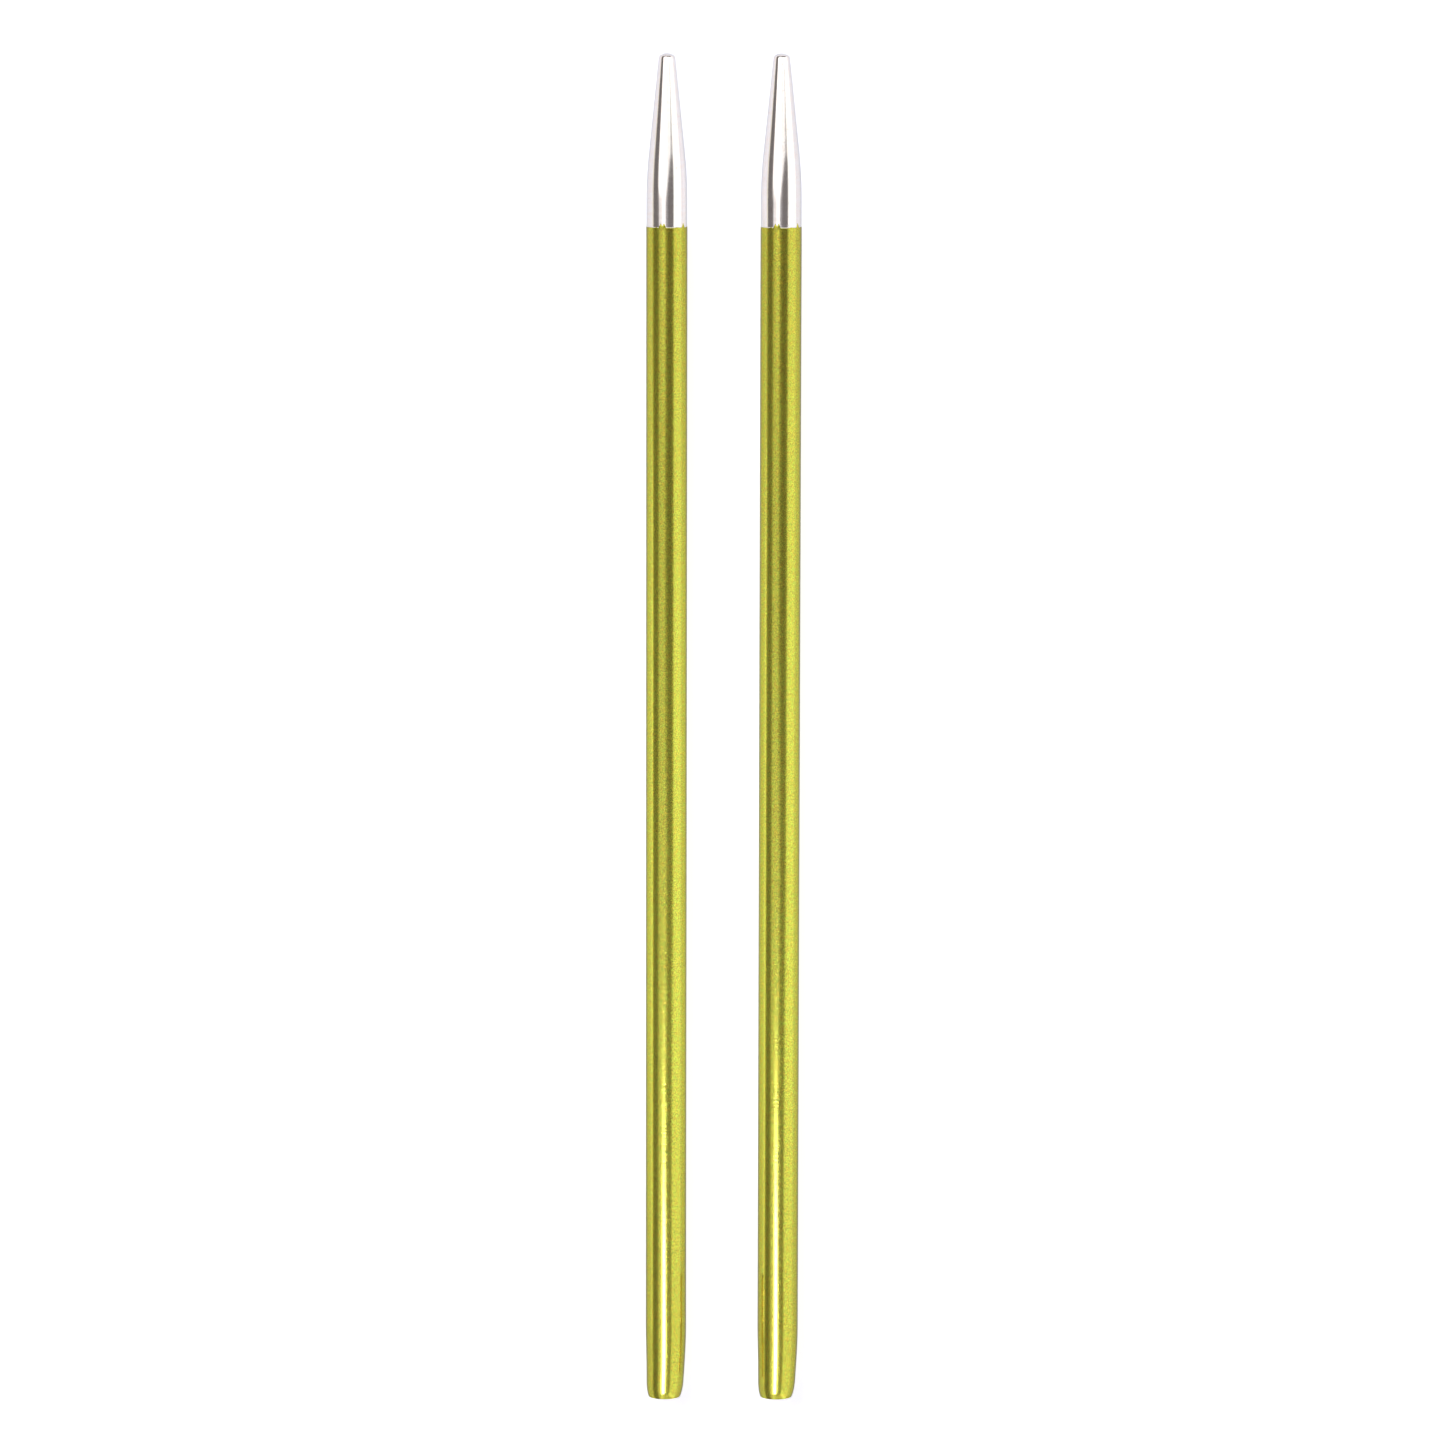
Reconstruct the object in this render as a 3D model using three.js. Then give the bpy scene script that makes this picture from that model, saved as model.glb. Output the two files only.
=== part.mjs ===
// A pair of screw-on knitting needle tips, lying side by side on a flat surface.
//
// Millimetres. +Y runs along the needles towards their points, +Z is up, and the surface is z = 0.
// Each needle is an anodised aluminium tube with a bare metal point pressed into its front end.
// The tube's back end is drawn in over a brass insert, whose thread takes a cable's stud.
import * as THREE from "three";

// The whole needle
const needleLength = 116;
const needleRadius = 1.75;
const needleSpacing = 9.68; // between the two axes
const tubeBoreRadius = 1.2;
const buttGap = 0.02; // between end faces that meet

// The point: a blunt dome, a straight flank, and a shoulder that rounds into the parallel body
const pointLength = 14.6;
const domeRadius = 0.56; // where the dome meets its rounded corner
const domeHeight = 0.16; // from there to the top
const domeCornerHeight = 0.2; // where the flank's line and the dome's tangent meet
const flankStartRadius = 0.7; // where the flank leaves the dome's rounded corner
const flankStart = 0.45; // behind the dome's top
const flankSlope = 0.104; // gain in radius for each millimetre along the needle
const shoulderLength = 4.2;

// The spigot behind the point, pressed into the tube
const spigotRadius = 1.18;
const spigotLength = 8;
const barbCount = 3;
const firstBarb = 1; // from the spigot's end
const barbPitch = 2;
const barbDepth = 0.1;
const barbWidth = 0.5;

// The tail: a slight taper, then a rounded nose around a flat end face
const tailLength = 6.5;
const tailNoseLength = 1.2;
const tailNoseRadius = 1.6; // where the taper meets the nose
const tailNoseCornerRadius = 1.544; // where the tangents of the nose's round meet
const tailNoseCornerHeight = 0.4;
const tailFaceRadius = 1.37; // outer edge of the flat end face
const tailShoulderLength = 1; // half of the round between the taper and the parallel body

// The threaded insert: a bush drilled right through, and tapped from the tail's end
const insertRadius = 1.18;
const insertLength = 9;
const mouthChamfer = 0.15;
const threadMinorRadius = 0.784; // a 2 mm thread
const threadMajorRadius = 1;
const threadPitch = 0.4;
const threadLength = 5;
const threadCrestFlat = 0.25; // share of the half pitch that is left at the minor radius
const threadRootFlat = 0.125;
const grooveCount = 3; // hold the glue
const groovePitch = 1.2;
const grooveWidth = 0.6;
const grooveDepth = 0.1;

// How finely the round shapes are divided
const sidesAround = 24;
const curveSteps = 5;
const rowsPerPitch = 4;
const onBore = 1e-4; // how close to the minor radius a point on the bore is

const anodised = new THREE.MeshStandardMaterial({ color: 0xc8c83c, metalness: 1, roughness: 0.22 });
const polished = new THREE.MeshStandardMaterial({ color: 0xdcd4d0, metalness: 1, roughness: 0.12 });
const brass = new THREE.MeshStandardMaterial({ color: 0xc9a450, metalness: 1, roughness: 0.3 });

// Turns a profile into a solid of revolution about Y. A profile that starts off the axis closes into a ring.
function turned(path) {
  const points = path.getPoints(curveSteps);
  if (points[0].x > 0) points.push(points[0].clone());
  return new THREE.LatheGeometry(points, sidesAround);
}

// A V groove around a rod or a bore, starting at y and running towards +Y.
function groove(path, y, width, outerRadius, depth) {
  path.lineTo(outerRadius, y);
  path.lineTo(outerRadius - depth, y + width / 2);
  path.lineTo(outerRadius, y + width);
}

// The point's own origin is the middle of the shoulder that butts against the tube.
function pointGeometry() {
  const flankRadius = (behindTop) => flankStartRadius + flankSlope * (behindTop - flankStart);
  const shoulderMiddle = flankStart + (needleRadius - flankStartRadius) / flankSlope;
  const shoulderEnd = shoulderMiddle - shoulderLength / 2;
  const path = new THREE.Path();
  path.moveTo(0, -spigotLength);
  path.lineTo(spigotRadius - barbDepth, -spigotLength);
  path.lineTo(spigotRadius, -spigotLength + barbDepth);
  for (let i = 0; i < barbCount; i++) {
    groove(path, -spigotLength + firstBarb + i * barbPitch, barbWidth, spigotRadius, barbDepth);
  }
  path.lineTo(spigotRadius, 0);
  path.lineTo(needleRadius, 0);
  path.lineTo(needleRadius, pointLength - shoulderMiddle - shoulderLength / 2);
  path.quadraticCurveTo(
    needleRadius, pointLength - shoulderMiddle,
    flankRadius(shoulderEnd), pointLength - shoulderEnd,
  );
  path.lineTo(flankStartRadius, pointLength - flankStart);
  path.quadraticCurveTo(
    flankRadius(domeCornerHeight), pointLength - domeCornerHeight,
    domeRadius, pointLength - domeHeight,
  );
  path.quadraticCurveTo(domeRadius / 2, pointLength, 0, pointLength);
  return turned(path);
}

// The tube between the point and the tail. Its own origin is at its back end.
function shaftGeometry(length) {
  const path = new THREE.Path();
  path.moveTo(tubeBoreRadius, 0);
  path.lineTo(needleRadius, 0);
  path.lineTo(needleRadius, length);
  path.lineTo(tubeBoreRadius, length);
  return turned(path);
}

// The tube's drawn-in end. Its own origin is the middle of the end face.
function tailGeometry() {
  const bodyEnd = tailLength - buttGap;
  const taperSlope = (needleRadius - tailNoseRadius) / (bodyEnd - tailShoulderLength - tailNoseLength);
  const path = new THREE.Path();
  path.moveTo(tubeBoreRadius, 0);
  path.lineTo(tailFaceRadius, 0);
  path.quadraticCurveTo(tailNoseCornerRadius, tailNoseCornerHeight, tailNoseRadius, tailNoseLength);
  path.lineTo(needleRadius - taperSlope * tailShoulderLength, bodyEnd - 2 * tailShoulderLength);
  path.quadraticCurveTo(needleRadius, bodyEnd - tailShoulderLength, needleRadius, bodyEnd);
  path.lineTo(tubeBoreRadius, bodyEnd);
  return turned(path);
}

// Moves the bore's wall outwards along a right-handed helix. The depth fades out at both ends.
function cutThread(geometry) {
  const position = geometry.getAttribute("position");
  const start = mouthChamfer;
  for (let i = 0; i < position.count; i++) {
    const x = position.getX(i);
    const y = position.getY(i);
    const z = position.getZ(i);
    const radius = Math.hypot(x, z);
    const inThread = y > start && y < start + threadLength;
    if (!inThread || Math.abs(radius - threadMinorRadius) > onBore) continue;
    const turns = y / threadPitch - Math.atan2(x, z) / (2 * Math.PI);
    const wave = Math.abs(2 * (turns - Math.floor(turns)) - 1);
    const flank = (wave - threadCrestFlat) / (1 - threadCrestFlat - threadRootFlat);
    const runOut = Math.min(1, (start + threadLength - y) / threadPitch, (y - start) / threadPitch);
    const depth = (threadMajorRadius - threadMinorRadius) * THREE.MathUtils.clamp(flank, 0, 1) * runOut;
    position.setX(i, (x * (radius + depth)) / radius);
    position.setZ(i, (z * (radius + depth)) / radius);
  }
}

// The insert's own origin is the middle of the socket's mouth.
function insertGeometry() {
  const rows = Math.round((threadLength / threadPitch) * rowsPerPitch);
  const path = new THREE.Path();
  path.moveTo(threadMinorRadius + mouthChamfer, 0);
  path.lineTo(insertRadius, 0);
  for (let i = 0; i < grooveCount; i++) {
    groove(path, tailLength + (i - grooveCount / 2) * groovePitch, grooveWidth, insertRadius, grooveDepth);
  }
  path.lineTo(insertRadius, insertLength - mouthChamfer);
  path.lineTo(insertRadius - mouthChamfer, insertLength);
  path.lineTo(threadMinorRadius, insertLength);
  for (let row = rows; row >= 0; row--) {
    path.lineTo(threadMinorRadius, mouthChamfer + (threadLength * row) / rows);
  }
  const geometry = turned(path);
  cutThread(geometry);
  return geometry;
}

// One needle, with its axis along Y and its middle at the group's origin.
function needle(side) {
  const tailEnd = -needleLength / 2;
  const shaftStart = tailEnd + tailLength;
  const pointStart = needleLength / 2 - pointLength;
  const pieces = [
    ["point", pointGeometry(), polished, pointStart],
    ["shaft", shaftGeometry(pointStart - buttGap - shaftStart), anodised, shaftStart],
    ["tail", tailGeometry(), anodised, tailEnd],
    ["thread_insert", insertGeometry(), brass, tailEnd],
  ];
  const group = new THREE.Group();
  for (const [name, geometry, material, start] of pieces) {
    const mesh = new THREE.Mesh(geometry, material);
    mesh.name = `${side}_${name}`;
    mesh.position.y = start;
    group.add(mesh);
  }
  return group;
}

const pair = new THREE.Group();
for (const [side, direction] of [["left", -1], ["right", 1]]) {
  const group = needle(side);
  group.position.set((direction * needleSpacing) / 2, 0, needleRadius);
  pair.add(group);
}

export default pair;
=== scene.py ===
"""Two screw-on knitting needle tips lying side by side on a white table.

Each is a lime anodised tube with a bare silver point pressed into it, and a brass bush in its tail.
Metres throughout. +Y runs towards the points and the table is z = 0.
"""

import math

import bpy
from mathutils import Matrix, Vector


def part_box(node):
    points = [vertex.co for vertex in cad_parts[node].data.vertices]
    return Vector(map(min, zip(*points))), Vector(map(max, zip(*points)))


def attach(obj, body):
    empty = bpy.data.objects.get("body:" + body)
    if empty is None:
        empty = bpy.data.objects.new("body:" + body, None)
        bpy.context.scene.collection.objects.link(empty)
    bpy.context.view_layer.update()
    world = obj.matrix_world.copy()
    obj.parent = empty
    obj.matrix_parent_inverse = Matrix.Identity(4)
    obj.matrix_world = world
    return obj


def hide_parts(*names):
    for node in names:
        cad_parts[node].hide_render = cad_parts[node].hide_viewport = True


MM = 0.001
SIDES = 256  # around every turned piece
UP_THE_Y_AXIS = (-math.pi / 2, 0, 0)
POLE_RADIUS = 0.01 * MM  # the tiny ring that closes into a pole
SAME_PLACE = 0.0001 * MM  # points nearer than this are one point
ON_RING = 0.0002 * MM  # how near a ring's radius a point of that ring lies
HAIR = 0.02 * MM  # between surfaces that are fitted together

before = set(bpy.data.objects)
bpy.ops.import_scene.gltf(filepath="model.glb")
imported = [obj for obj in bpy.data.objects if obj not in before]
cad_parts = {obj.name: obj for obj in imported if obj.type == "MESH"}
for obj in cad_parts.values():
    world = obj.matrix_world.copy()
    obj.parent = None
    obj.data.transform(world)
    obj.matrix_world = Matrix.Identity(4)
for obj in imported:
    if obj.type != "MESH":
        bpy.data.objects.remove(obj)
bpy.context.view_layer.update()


# ---------------------------------------------------------------- sizes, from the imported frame

def axis_of(side):
    """The needle's centre line at the middle of its length."""
    low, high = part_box(f"{side}_shaft")
    return Vector(((low.x + high.x) / 2, 0, (low.z + high.z) / 2))


def radius_of(node):
    low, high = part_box(node)
    return (high.z - low.z) / 2


TAIL_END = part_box("left_tail")[0].y
TAIL_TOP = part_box("left_tail")[1].y
TUBE_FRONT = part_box("left_shaft")[1].y
POINT_BUTT = TUBE_FRONT + HAIR
POINT_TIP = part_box("left_point")[1].y
SPIGOT_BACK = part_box("left_point")[0].y
INSERT_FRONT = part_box("left_thread_insert")[1].y
RADIUS = radius_of("left_shaft")
INSERT_RADIUS = radius_of("left_thread_insert")
BORE_RADIUS = INSERT_RADIUS + HAIR

# The point
POINT_RADIUS = RADIUS - HAIR  # a little under the tube, so the joint can be felt
POINT_EDGE = 0.03 * MM  # the bevel around its butt
FLANK_SLOPE = 0.104
FLANK_START = 0.45 * MM  # behind the tip
FLANK_START_RADIUS = 0.7 * MM
SHOULDER = 4.2 * MM
SHOULDER_STEPS = 32
DOME_RADIUS = 0.56 * MM
DOME_HEIGHT = 0.16 * MM
DOME_CORNER_HEIGHT = 0.2 * MM
DOME_CORNER_STEPS = 12
DOME_STEPS = 16
SPIGOT_RADIUS = BORE_RADIUS - HAIR
FIRST_BARB = 1 * MM
BARB_PITCH = 2 * MM
BARB_WIDTH = 0.5 * MM
BARB_DEPTH = 0.1 * MM

# The tail
FACE_RADIUS = 1.37 * MM
NOSE_LENGTH = 1.2 * MM
NOSE_RADIUS = 1.6 * MM
NOSE_CORNER = (0.4 * MM, 1.544 * MM)  # height and radius where the round's tangents meet
NOSE_STEPS = 16
TAPER_STEPS = 12
TAIL_SHOULDER = 1 * MM  # half of the round between the taper and the parallel body
TAIL_SHOULDER_STEPS = 12
MOUTH_CHAMFER = 0.02 * MM
LEAN_START = -52.4 * MM  # the drawn-in end's outside bends to the left from here back
LEAN = 0.0041 / MM  # times the square of the way back from there

# The thread in the bush
THREAD_START = 0.15 * MM
THREAD_LENGTH = 5 * MM
THREAD_PITCH = 0.4 * MM
MAJOR_RADIUS = 1 * MM
MINOR_RADIUS = 0.784 * MM
CREST_FLAT = 0.25  # share of the half pitch that is left at the minor radius
ROOT_FLAT = 0.125
ROWS_PER_TURN = 10
GROOVES = 3  # around the bush, and barbs around the spigot
GROOVE_PITCH = 1.2 * MM
GROOVE_WIDTH = 0.6 * MM
GROOVE_DEPTH = 0.1 * MM

# The rags of the skin's torn edge at the point: angle from the top and half width in degrees,
# and reach in millimetres
RAGS = [
    (-16.5, 6.5, 0.38), (-7.5, 5.5, 0.4), (-30, 5, 0.06),
    (31, 9, 0.05), (52.8, 5.5, 0.42), (76, 8, 0.05),
]
RAG_POWER = 0.8  # under 1, so a rag is full in its middle
FULL_CURL_REACH = 0.2 * MM  # a rag as long as this curls up all the way

# The skin's edge, ring by ring, in millimetres: how far behind the front, how far under the tube's
# radius, what share of the rag's reach it takes, and how far the rag curls up from the silver there
LIP = [
    (0.12, 0, 0, 0), (0.06, 0, 0.15, 0.006), (0.03, 0, 0.4, 0.024), (0.012, 0.002, 0.75, 0.026),
    (0.003, 0.006, 0.94, 0.01), (0, 0.011, 1, 0.003), (0, 0.014, 1, 0.001), (0, 0.016, 0, 0),
]
LIP_START = TUBE_FRONT - 0.3 * MM


# ---------------------------------------------------------------- turning pieces in edit mode

def curve(start, control, end, steps):
    """Points of a quadratic curve, without its start."""
    points = []
    for i in range(1, steps + 1):
        t = i / steps
        points.append(tuple(
            (1 - t) ** 2 * a + 2 * t * (1 - t) * b + t ** 2 * c
            for a, b, c in zip(start, control, end)
        ))
    return points


def deselect():
    bpy.ops.object.select_all(action="DESELECT")


def turned(name, stations, closed=False):
    """Draws a ring out along the Y axis through (y, radius) stations.

    A closed piece ends where it began, as a tube with a bore does. The piece stays in edit mode.
    """
    deselect()
    y, radius = stations[0]
    bpy.ops.mesh.primitive_circle_add(
        vertices=SIDES, radius=radius, fill_type="NOTHING",
        location=(0, y, 0), rotation=UP_THE_Y_AXIS,
    )
    piece = bpy.context.object
    piece.name = piece.data.name = name
    bpy.ops.object.transform_apply(location=True, rotation=True, scale=True)
    bpy.ops.object.mode_set(mode="EDIT")
    bpy.ops.mesh.select_mode(type="VERT")
    bpy.ops.mesh.select_all(action="SELECT")
    for next_y, next_radius in stations[1:] + (stations[:1] if closed else []):
        bpy.ops.mesh.extrude_region_move(TRANSFORM_OT_translate={"value": (0, next_y - y, 0)})
        share = next_radius / radius
        if share != 1:
            bpy.ops.transform.resize(value=(share, 1, share), center_override=(0, next_y, 0))
        y, radius = next_y, next_radius
    return piece


def finish_mesh(smooth_degrees=35):
    """Merges what meets, turns the faces outwards and shades across soft edges only."""
    bpy.ops.mesh.select_all(action="SELECT")
    bpy.ops.mesh.remove_doubles(threshold=SAME_PLACE)
    bpy.ops.mesh.normals_make_consistent(inside=False)
    bpy.ops.object.mode_set(mode="OBJECT")
    bpy.ops.object.shade_smooth_by_angle(angle=math.radians(smooth_degrees))


def close_pole(piece, y):
    """Draws the tiny ring around the axis at y together into one vertex."""
    bpy.ops.mesh.select_all(action="DESELECT")
    bpy.ops.object.mode_set(mode="OBJECT")
    for vertex in piece.data.vertices:
        away = math.hypot(vertex.co.x, vertex.co.z)
        vertex.select = abs(vertex.co.y - y) < POLE_RADIUS / 10 and away < 2 * POLE_RADIUS
    bpy.ops.object.mode_set(mode="EDIT")
    bpy.ops.mesh.merge(type="CENTER")


def v_grooves(start, pitch, width, radius, depth):
    """Stations of the V grooves around a rod."""
    stations = []
    for i in range(GROOVES):
        back = start + i * pitch
        stations += [(back, radius), (back + width / 2, radius - depth), (back + width, radius)]
    return stations


def flank(behind):
    """The point's radius along its straight flank, this far behind the tip."""
    return FLANK_START_RADIUS + FLANK_SLOPE * (behind - FLANK_START)


def point():
    """The silver point: blunt dome, straight flank, rounded shoulder, and the barbed spigot."""
    first_barb = SPIGOT_BACK + FIRST_BARB
    stations = [
        (SPIGOT_BACK, POLE_RADIUS),
        (SPIGOT_BACK, SPIGOT_RADIUS - BARB_DEPTH),
        (SPIGOT_BACK + BARB_DEPTH, SPIGOT_RADIUS),
        *v_grooves(first_barb, BARB_PITCH, BARB_WIDTH, SPIGOT_RADIUS, BARB_DEPTH),
        (POINT_BUTT, SPIGOT_RADIUS),
        (POINT_BUTT, POINT_RADIUS - POINT_EDGE),
        (POINT_BUTT + POINT_EDGE, POINT_RADIUS),
        (POINT_BUTT + 2 * POINT_EDGE, POINT_RADIUS),
    ]

    middle = FLANK_START + (POINT_RADIUS - FLANK_START_RADIUS) / FLANK_SLOPE
    end = middle - SHOULDER / 2
    shoulder_start = (POINT_TIP - middle - SHOULDER / 2, POINT_RADIUS)
    shoulder_middle = (POINT_TIP - middle, POINT_RADIUS)
    shoulder_end = (POINT_TIP - end, flank(end))
    stations += [shoulder_start]
    stations += curve(shoulder_start, shoulder_middle, shoulder_end, SHOULDER_STEPS)

    corner_start = (POINT_TIP - FLANK_START, FLANK_START_RADIUS)
    corner = (POINT_TIP - DOME_CORNER_HEIGHT, flank(DOME_CORNER_HEIGHT))
    dome_start = (POINT_TIP - DOME_HEIGHT, DOME_RADIUS)
    stations += [corner_start]
    stations += curve(corner_start, corner, dome_start, DOME_CORNER_STEPS)
    stations += curve(
        dome_start, (POINT_TIP, DOME_RADIUS / 2), (POINT_TIP, POLE_RADIUS), DOME_STEPS
    )
    piece = turned("silver_point", stations)
    close_pole(piece, POINT_TIP)
    close_pole(piece, SPIGOT_BACK)
    finish_mesh()
    return piece


def rag(degrees):
    """How far the skin's torn edge reaches over the silver here, in metres."""
    reach = 0
    for middle, half_width, height in RAGS:
        away = min(1, abs(degrees - middle) / half_width)
        reach = max(reach, height * MM * (1 - away) ** RAG_POWER)
    return reach


def tube():
    """The anodised tube from its drawn-in tail to the ragged front edge, bored through."""
    slope = (RADIUS - NOSE_RADIUS) / (TAIL_TOP - TAIL_END - TAIL_SHOULDER - NOSE_LENGTH)
    nose = (TAIL_END + NOSE_LENGTH, NOSE_RADIUS)
    nose_corner = (TAIL_END + NOSE_CORNER[0], NOSE_CORNER[1])
    face = (TAIL_END, FACE_RADIUS)
    shoulder = (TAIL_TOP - 2 * TAIL_SHOULDER, RADIUS - slope * TAIL_SHOULDER)
    shoulder_middle = (TAIL_TOP - TAIL_SHOULDER, RADIUS)
    stations = [
        (TAIL_END + MOUTH_CHAMFER, BORE_RADIUS),
        (TAIL_END, BORE_RADIUS + MOUTH_CHAMFER),
        face,
    ]
    stations += curve(face, nose_corner, nose, NOSE_STEPS)
    for i in range(1, TAPER_STEPS + 1):
        stations.append(tuple(a + (b - a) * i / TAPER_STEPS for a, b in zip(nose, shoulder)))
    stations += curve(shoulder, shoulder_middle, (TAIL_TOP, RADIUS), TAIL_SHOULDER_STEPS)
    stations += [(LIP_START, RADIUS)]
    lip = [
        (TUBE_FRONT - back * MM, RADIUS - under * MM, share, curl * MM)
        for back, under, share, curl in LIP
    ]
    stations += [(y, radius) for y, radius, share, curl in lip] + [(TUBE_FRONT, BORE_RADIUS)]
    piece = turned("anodised_tube", stations, closed=True)
    bpy.ops.object.mode_set(mode="OBJECT")
    for vertex in piece.data.vertices:
        x, y, z = vertex.co
        away = math.hypot(x, z)
        if y < LEAN_START and away > BORE_RADIUS + 2 * MOUTH_CHAMFER:
            vertex.co.x -= LEAN * (LEAN_START - y) ** 2
        for lip_y, radius, share, curl in lip:
            if abs(y - lip_y) < SAME_PLACE and abs(away - radius) < ON_RING:
                reach = rag(math.degrees(math.atan2(x, z)))
                rise = 1 + curl * min(1, reach / FULL_CURL_REACH) / away
                if z > 0:
                    rise = min(rise, RADIUS / z)  # never above the tube's own top
                vertex.co = (x * rise, y + share * reach, z * rise)
                break
    bpy.ops.object.mode_set(mode="EDIT")
    finish_mesh()
    return piece


def thread_depth(x, y, z):
    """How far the thread's wall lies outside the minor radius. The helix is right-handed."""
    turns = y / THREAD_PITCH - math.atan2(x, z) / (2 * math.pi)
    wave = abs(2 * (turns - math.floor(turns)) - 1)
    run_out = min(1, (THREAD_LENGTH - y) / THREAD_PITCH, y / THREAD_PITCH)
    wall = min(1, max(0, (wave - CREST_FLAT) / (1 - CREST_FLAT - ROOT_FLAT)))
    return (MAJOR_RADIUS - MINOR_RADIUS) * wall * run_out


def bush():
    """The brass bush in the tail, grooved for its glue and tapped from the tail's end."""
    chamfer = THREAD_START
    rows = round(THREAD_LENGTH / THREAD_PITCH * ROWS_PER_TURN)
    first_groove = TAIL_TOP - GROOVE_PITCH * GROOVES / 2
    stations = [
        (TAIL_END, MINOR_RADIUS + chamfer),
        (TAIL_END, INSERT_RADIUS),
        *v_grooves(first_groove, GROOVE_PITCH, GROOVE_WIDTH, INSERT_RADIUS, GROOVE_DEPTH),
        (INSERT_FRONT - chamfer, INSERT_RADIUS),
        (INSERT_FRONT, INSERT_RADIUS - chamfer),
        (INSERT_FRONT, MINOR_RADIUS),
    ]
    for row in range(rows, -1, -1):
        stations.append((TAIL_END + THREAD_START + THREAD_LENGTH * row / rows, MINOR_RADIUS))
    piece = turned("brass_bush", stations, closed=True)
    bpy.ops.object.mode_set(mode="OBJECT")
    for vertex in piece.data.vertices:
        x, y, z = vertex.co
        along = y - TAIL_END - THREAD_START
        on_bore = abs(math.hypot(x, z) - MINOR_RADIUS) < ON_RING
        if on_bore and 0 < along < THREAD_LENGTH:
            share = 1 + thread_depth(x, along, z) / MINOR_RADIUS
            vertex.co = (x * share, y, z * share)
    bpy.ops.object.mode_set(mode="EDIT")
    finish_mesh(smooth_degrees=50)
    return piece


# ---------------------------------------------------------------- finishes

LIME = (0.535, 0.54, 0.058)
LIME_RIM = (0.12, 0.11, 0.02, 1)  # what the metal tends to at its outline
SILVER = (0.77, 0.725, 0.695)
SILVER_RIM = (0.62, 0.68, 0.72, 1)
BRASS = (0.75, 0.55, 0.22)


class Finish:
    """A metal material put together from nodes, with patterns that lie on the piece itself."""

    def __init__(self, name):
        self.material = bpy.data.materials.new(name)
        self.material.use_nodes = True
        self.tree = self.material.node_tree
        self.shader = self.tree.nodes["Principled BSDF"]
        self.set("Metallic", 1)
        self.place = self.node("ShaderNodeTexCoord").outputs["Object"]

    def node(self, kind, **inputs):
        node = self.tree.nodes.new(kind)
        for name, value in inputs.items():
            self.put(node.inputs[name], value)
        return node

    def put(self, socket, value):
        """Sets a socket, or links it if the value is another node's output."""
        if isinstance(value, bpy.types.NodeSocket):
            self.tree.links.new(value, socket)
        else:
            socket.default_value = value

    def set(self, name, value):
        self.put(self.shader.inputs[name], value)

    def math(self, operation, *values):
        node = self.node("ShaderNodeMath")
        node.operation = operation
        for socket, value in zip(node.inputs, values):
            self.put(socket, value)
        return node.outputs[0]

    def ramp(self, value, from_low, from_high, to_low, to_high):
        """Maps one range onto another and stops at both ends."""
        node = self.node("ShaderNodeMapRange", Value=value)
        node.inputs["From Min"].default_value = from_low
        node.inputs["From Max"].default_value = from_high
        node.inputs["To Min"].default_value = to_low
        node.inputs["To Max"].default_value = to_high
        return node.outputs["Result"]

    def grain(self, per_mm, along_per_mm, detail=1.0):
        """Noise from 0 to 1, with so many blotches per millimetre across the needle and along."""
        scale = self.node("ShaderNodeMapping", Vector=self.place)
        scale.inputs["Scale"].default_value = (per_mm / MM, along_per_mm / MM, per_mm / MM)
        noise = self.node(
            "ShaderNodeTexNoise", Vector=scale.outputs["Vector"], Scale=1.0, Detail=detail
        )
        return noise.outputs["Fac"]

    def along(self):
        """How far forward of the needle's middle, in metres."""
        return self.node("ShaderNodeSeparateXYZ", Vector=self.place).outputs["Y"]

    def mix(self, share, first, second, blend="MIX"):
        node = self.node("ShaderNodeMix")
        node.data_type = "RGBA"
        node.blend_type = blend
        self.put(node.inputs["Factor"], share)
        self.put(node.inputs["A"], first)
        self.put(node.inputs["B"], second)
        return node.outputs["Result"]

    def bump(self, height, strength, distance):
        node = self.node("ShaderNodeBump", Height=height, Strength=strength, Distance=distance)
        self.set("Normal", node.outputs["Normal"])

    def drawn_lengthwise(self, amount):
        """Blurs reflections across the needle more than along it."""
        around = self.node("ShaderNodeTangent")
        around.direction_type = "RADIAL"
        around.axis = "Y"
        self.set("Tangent", around.outputs["Tangent"])
        self.set("Anisotropic", amount)


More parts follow.
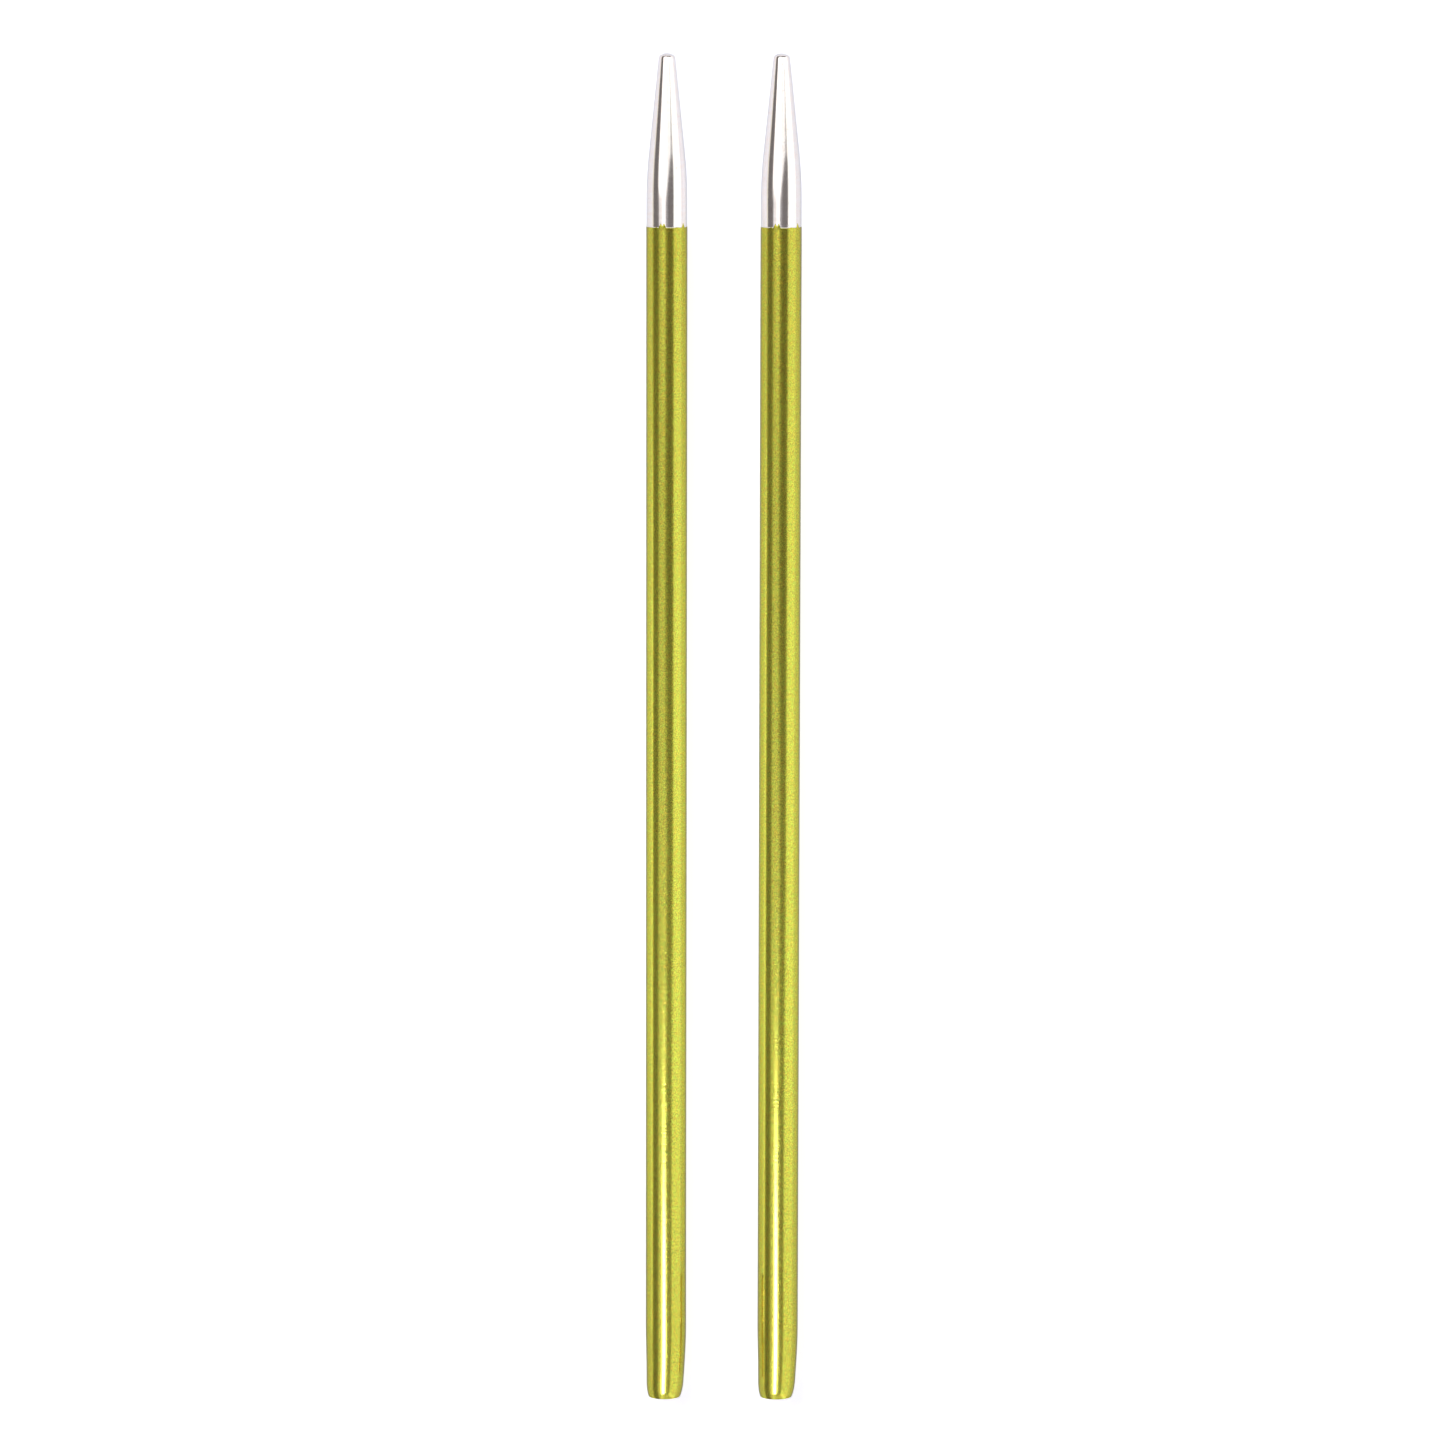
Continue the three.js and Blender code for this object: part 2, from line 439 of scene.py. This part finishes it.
def anodised_finish():
    """Lime dye under a clear hard skin, over a tube that was drawn lengthwise."""
    finish = Finish("lime_anodised")
    orange = (LIME[0] * 1.08, LIME[1] * 0.91, LIME[2] * 0.9, 1)
    green = (LIME[0] * 0.93, LIME[1] * 1.06, LIME[2] * 1.1, 1)
    mottle = finish.ramp(finish.grain(5, 3.6), 0.28, 0.72, 0, 1)
    colour = finish.mix(mottle, orange, green)

    # Painted shade: the colour is made a little darker and warmer near both ends, to dim the
    # reflections there
    front_painted_shade, back_painted_shade = (0.86, 0.82, 0.76, 1), (0.88, 0.85, 0.8, 1)
    forward = finish.ramp(finish.along(), 5 * MM, 44 * MM, 0, 1)
    backward = finish.ramp(finish.along(), -25 * MM, -52 * MM, 0, 1)
    colour = finish.mix(forward, colour, front_painted_shade, "MULTIPLY")
    colour = finish.mix(backward, colour, back_painted_shade, "MULTIPLY")

    speckle = finish.ramp(finish.grain(11, 8), 0.25, 0.75, 0.7, 1.3)
    finish.set("Base Color", finish.mix(1.0, colour, speckle, "MULTIPLY"))
    finish.set("Roughness", finish.ramp(finish.grain(5, 0.4), 0.3, 0.7, 0.16, 0.18))
    finish.set("Metallic", 0.85)
    finish.set("Specular Tint", LIME_RIM)
    finish.set("Coat Weight", 0.35)
    finish.set("Coat IOR", 1.5)
    finish.set("Coat Roughness", 0.06)
    finish.drawn_lengthwise(0.85)
    brush_marks = finish.grain(2, 6.5, 2.0)
    draw_lines = finish.math("MULTIPLY", finish.grain(14, 0.05, 2.0), 0.1)
    relief = finish.math("ADD", brush_marks, draw_lines)
    finish.bump(relief, strength=0.5, distance=0.008 * MM)
    return finish.material


def silver_finish():
    """Bare metal, polished on the lathe, with fine rings and a few specks."""
    finish = Finish("bare_silver")
    cloud = finish.ramp(finish.grain(1.1, 3), 0.3, 0.7, 0, 1)
    warm = (SILVER[0] * 0.98, SILVER[1] * 0.96, SILVER[2] * 0.94, 1)
    colour = finish.mix(cloud, (*SILVER, 1), warm)
    speck = finish.ramp(finish.grain(9, 8, 0.0), 0.77, 0.84, 1, 0.7)
    finish.set("Base Color", finish.mix(1.0, colour, speck, "MULTIPLY"))
    finish.set("Roughness", finish.ramp(finish.grain(0.8, 9), 0.3, 0.7, 0.12, 0.165))
    finish.set("Specular Tint", SILVER_RIM)
    rings = finish.grain(0.3, 16, 2.0)
    finish.bump(rings, strength=0.3, distance=0.0015 * MM)
    return finish.material


def brass_finish():
    """Brass as the tap and the drill left it, a little tarnished."""
    finish = Finish("machined_brass")
    tarnish = finish.ramp(finish.grain(1.5, 1.5, 3.0), 0.4, 0.75, 0, 1)
    brown = (BRASS[0] * 0.7, BRASS[1] * 0.6, BRASS[2] * 0.5, 1)
    finish.set("Base Color", finish.mix(tarnish, (*BRASS, 1), brown))
    finish.set("Roughness", finish.ramp(finish.grain(0.6, 12), 0.3, 0.7, 0.18, 0.36))
    tool_marks = finish.grain(0.4, 14, 2.0)
    finish.bump(tool_marks, strength=0.4, distance=0.002 * MM)
    return finish.material


# ---------------------------------------------------------------- the two needles

PIECES = [
    (tube, anodised_finish(), "anodised_aluminium", ("shaft", "tail")),
    (point, silver_finish(), "point_metal", ("point",)),
    (bush, brass_finish(), "insert_brass", ("thread_insert",)),
]


def choose(piece):
    deselect()
    piece.select_set(True)
    bpy.context.view_layer.objects.active = piece


for make, finish, slot, nodes in PIECES:
    first = make()
    first.data.materials.append(finish)
    name = first.name
    choose(first)
    bpy.ops.object.duplicate(linked=False)
    for side, piece in (("left", first), ("right", bpy.context.object)):
        choose(piece)
        bpy.ops.transform.translate(value=axis_of(side))
        bpy.ops.object.transform_apply(location=True, rotation=True, scale=True)
        piece.name = piece.data.name = f"{side}_{name}"
        piece.visible_glossy = make is bush  # a needle doesn't show in its neighbour
        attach(piece, f"{side}_needle")
        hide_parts(*(f"{side}_{node}" for node in nodes))


# ---------------------------------------------------------------- table, light and camera

TABLE_SIZE = 6
TABLE_WHITE = (0.85, 0.85, 0.85, 1)
TABLE_GLOW = 0.78
TABLE_GLOW_COLOUR = (0.98, 0.99, 1.1, 1)
ROOM_COLOUR = (1, 0.935, 0.94, 1)
ROOM_STRENGTH = 0.21
CEILING = 0.6
SOFTBOX = 1.36
SOFTBOX_COLOUR = (0.99, 1.02, 1)
SWEEP_COLOUR = (1, 0.98, 0.85)
COOL = (0.85, 0.85, 1.5)
TO_LEFT, TO_RIGHT = (0, 90, 0), (0, -90, 0)  # which way a wall panel faces, in degrees
SENSOR = 36  # in the camera's own millimetres
SEEN_WIDTH = 0.12365  # how much the view spans at the needles


def table():
    deselect()
    bpy.ops.mesh.primitive_plane_add(size=TABLE_SIZE, location=(0, 0, 0))
    plane = bpy.context.object
    plane.name = "white_table"
    material = bpy.data.materials.new("white_card")
    material.use_nodes = True
    shader = material.node_tree.nodes["Principled BSDF"]
    shader.inputs["Base Color"].default_value = TABLE_WHITE
    shader.inputs["Roughness"].default_value = 0.9
    shader.inputs["Specular IOR Level"].default_value = 0
    shader.inputs["Emission Color"].default_value = TABLE_GLOW_COLOUR
    shader.inputs["Emission Strength"].default_value = TABLE_GLOW
    plane.data.materials.append(material)


def panel(
    name, place, size, radiance, turn=(0, 0, 0), colour=(1, 1, 1), on_metal=True, on_table=False
):
    """A flat soft light of one brightness all over. Unturned it faces down.

    on_metal lets it be seen in the metal, and on_table lets it light what isn't glossy.
    """
    data = bpy.data.lights.new(name, "AREA")
    data.shape = "RECTANGLE"
    data.size, data.size_y = size
    data.energy = radiance * math.pi * size[0] * size[1]
    data.color = colour
    lamp = bpy.data.objects.new(name, data)
    bpy.context.scene.collection.objects.link(lamp)
    lamp.location = place
    lamp.rotation_euler = [math.radians(angle) for angle in turn]
    lamp.visible_camera = False
    lamp.visible_glossy = on_metal
    lamp.visible_diffuse = on_table


def overhead(name, left, right, back, front, radiance, above=0, **options):
    """A panel in the ceiling's plane, between these sides in metres."""
    place = ((left + right) / 2, (back + front) / 2, CEILING + above)
    panel(name, place, (right - left, front - back), radiance, **options)


def lights():
    world = bpy.data.worlds.new("dim_room")
    bpy.context.scene.world = world
    world.use_nodes = True
    background = world.node_tree.nodes["Background"]
    background.inputs["Color"].default_value = ROOM_COLOUR
    background.inputs["Strength"].default_value = ROOM_STRENGTH
    panel("right_softbox", (0.6, -0.1, 0.37), (0.74, 1.4), SOFTBOX, TO_LEFT, SOFTBOX_COLOUR)
    panel("right_softbox_back", (0.61, -0.6, 0.87), (0.26, 0.78), SOFTBOX, TO_LEFT, SOFTBOX_COLOUR)
    panel("left_sweep", (-1, -0.1, 0.075), (0.15, 2), 0.88, TO_RIGHT, SWEEP_COLOUR)
    panel("left_sweep_middle", (-0.98, -0.19, 0.075), (0.15, 0.24), 1.05, TO_RIGHT, SWEEP_COLOUR)
    overhead("ceiling_strip", -0.59, -0.07, -1, 1, 0.79)
    overhead("tail_lamp", -0.22, -0.025, -0.5, -0.173, 13, above=0.01, colour=COOL)
    overhead("tail_lamp_back", -0.2, -0.05, -0.5, -0.2, 8, above=0.07, colour=COOL)
    overhead("tail_glow", -0.11, 0.055, -0.15, -0.095, 0.6, above=0.04)
    overhead("ceiling_edge", -0.066, 0.06, -1, 1, 0.13, above=0.08)
    overhead("tail_side", 0.065, 0.3, -0.8, -0.1, 0.12, above=0.05)
    overhead("joint_glow", -0.35, -0.08, -0.025, 0.05, 0.45, above=0.06)
    panel("back_wall", (0.25, -0.9, 0.52), (1.3, 1), 0.8, (90, 0, 0))
    overhead("front_panel", -0.75, -0.06, 0.032, 0.6, 1.2, above=0.02)

    # The slanted panel starts at its back left corner
    length, width = 0.7, 0.5
    corner = Vector((-0.054, 0.02, CEILING + 0.03))
    along, across = Vector((0.92, 0.39, 0)), Vector((-0.39, 0.92, 0))
    middle = corner + along * length / 2 + across * width / 2
    panel("front_slant", middle, (length, width), 1.2, (0, 0, 23))

    overhead("front_corner", 0.2, 0.62, 0.176, 0.5, 0.9, above=0.09)
    panel("fill", (-0.35, 0.3, 0.5), (0.5, 0.5), 2, (-35, -35, 0), on_metal=False, on_table=True)


def camera():
    """Over the needles, a little nearer to their points and looking back."""
    distance = 0.559
    lean = math.radians(7.9)
    roll = math.radians(0.117)
    target = Vector((-0.04 * MM, 1.0 * MM, RADIUS))
    data = bpy.data.cameras.new("camera")
    data.sensor_width = SENSOR
    data.lens = SENSOR * distance / SEEN_WIDTH
    data.clip_start = 0.01
    thing = bpy.data.objects.new("camera", data)
    bpy.context.scene.collection.objects.link(thing)
    thing.location = target + distance * Vector((0, math.sin(lean), math.cos(lean)))
    thing.rotation_euler = (-lean, 0, 0)
    thing.rotation_euler.rotate_axis("Z", roll)
    bpy.context.scene.camera = thing


table()
lights()
camera()
bpy.context.scene.view_settings.view_transform = "Standard"
